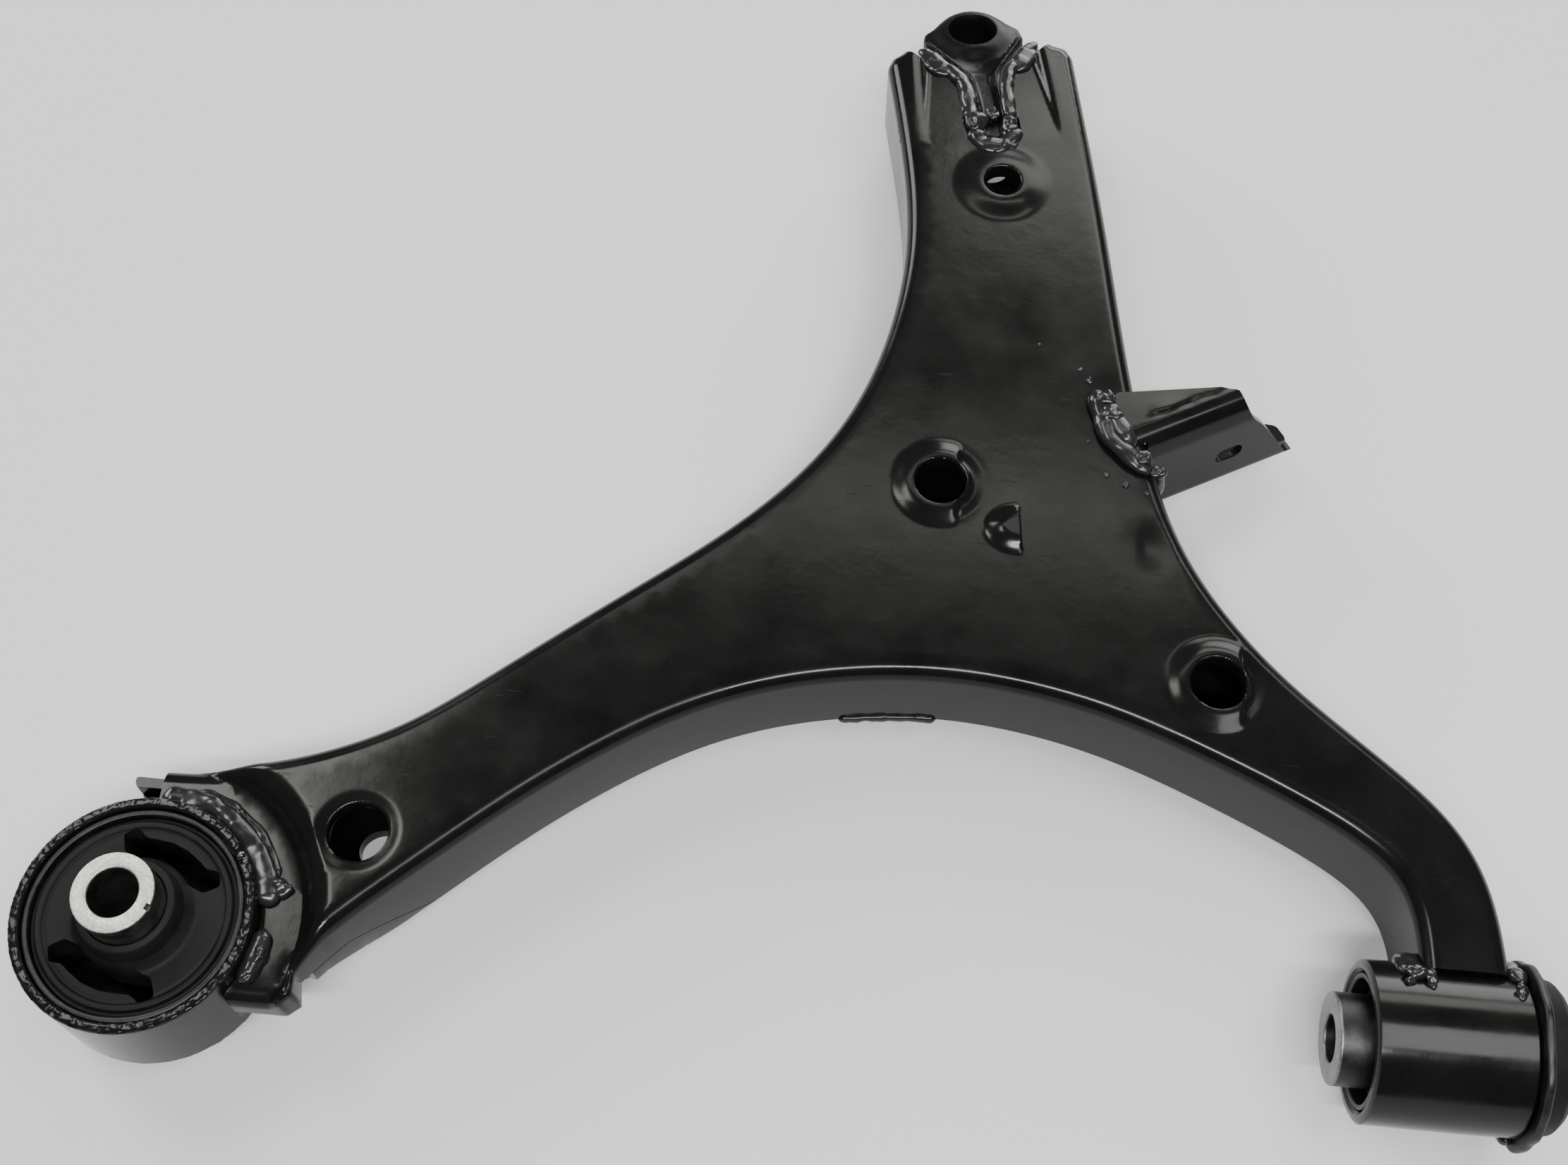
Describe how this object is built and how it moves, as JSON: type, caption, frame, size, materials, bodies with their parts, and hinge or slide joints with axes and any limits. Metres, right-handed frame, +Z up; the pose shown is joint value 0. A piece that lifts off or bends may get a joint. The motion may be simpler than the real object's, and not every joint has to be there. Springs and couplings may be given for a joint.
{
  "type": "control arm",
  "caption": "Stamped box-section lower suspension arm with an upright rubber bush, a lying rubber bush, a forged ball joint seat and a slotted side bracket.",
  "frame": {"origin": "middle of the arm's bounding box at its underside, which is the lower end of the rear bush's inner sleeve", "axes": "+X along the swing axis from the rear bush to the front bush, +Y outward to the ball joint seat, +Z up along the rear bush"},
  "size_m": [0.4318, 0.4014, 0.061],
  "materials": {
    "black_paint": "glossy black dip coat with slight orange peel",
    "black_forging": "black coat over a rough forged skin, satin",
    "painted_weld": "glossy black coat over rippled weld beads",
    "dark_steel": "phosphated dark grey steel",
    "bright_steel": "machined bare steel",
    "rubber": "matte moulded charcoal rubber"
  },
  "bodies": {
    "arm": {"upper_shell": "black_paint", "lower_shell": "black_paint", "ball_joint_seat": "black_forging", "side_bracket": "black_paint", "rear_ring": "black_paint", "rear_bush_outer_sleeve": "dark_steel", "rear_bush_rubber": "rubber", "front_collar": "black_paint", "front_bush_flanged_sleeve": "dark_steel", "front_bush_rubber": "rubber", "weld_ring_upper": "painted_weld", "weld_ring_front": "painted_weld", "weld_ring_under": "painted_weld", "weld_seat_left": "painted_weld", "weld_seat_right": "painted_weld", "weld_seat_tail": "painted_weld", "weld_bracket_flange": "painted_weld", "weld_bracket_wall": "painted_weld", "weld_collar_rear": "painted_weld", "weld_collar_front": "painted_weld", "weld_collar_under": "painted_weld", "weld_flange_tack": "painted_weld", "weld_seam_rear": "painted_weld", "weld_seam_left_inner": "painted_weld", "weld_seam_left_outer": "painted_weld", "weld_seam_front_outer": "painted_weld", "weld_seam_front_inner": "painted_weld"},
    "front_sleeve": {"front_bush_inner_sleeve": "dark_steel"},
    "rear_sleeve": {"rear_bush_inner_sleeve": "bright_steel"}
  },
  "joints": [
    {"name": "front_bush_twist", "type": "hinge", "parent": "arm", "child": "front_sleeve", "pos_m": [0.18288, -0.16645, 0.0271], "axis": [1, 0, 0], "range_deg": [-15, 15], "stiffness_Nm_per_rad": 60, "deforming": ["front_bush_rubber"]},
    {"name": "rear_bush_tilt", "type": "hinge", "parent": "arm", "child": "rear_sleeve", "pos_m": [-0.18163, -0.16645, 0.0271], "axis": [1, 0, 0], "range_deg": [-15, 15], "stiffness_Nm_per_rad": 40, "deforming": ["rear_bush_rubber"]}
  ],
  "couplings": [
    {"joint": "rear_bush_tilt", "follows": "front_bush_twist", "ratio": 1}
  ]
}
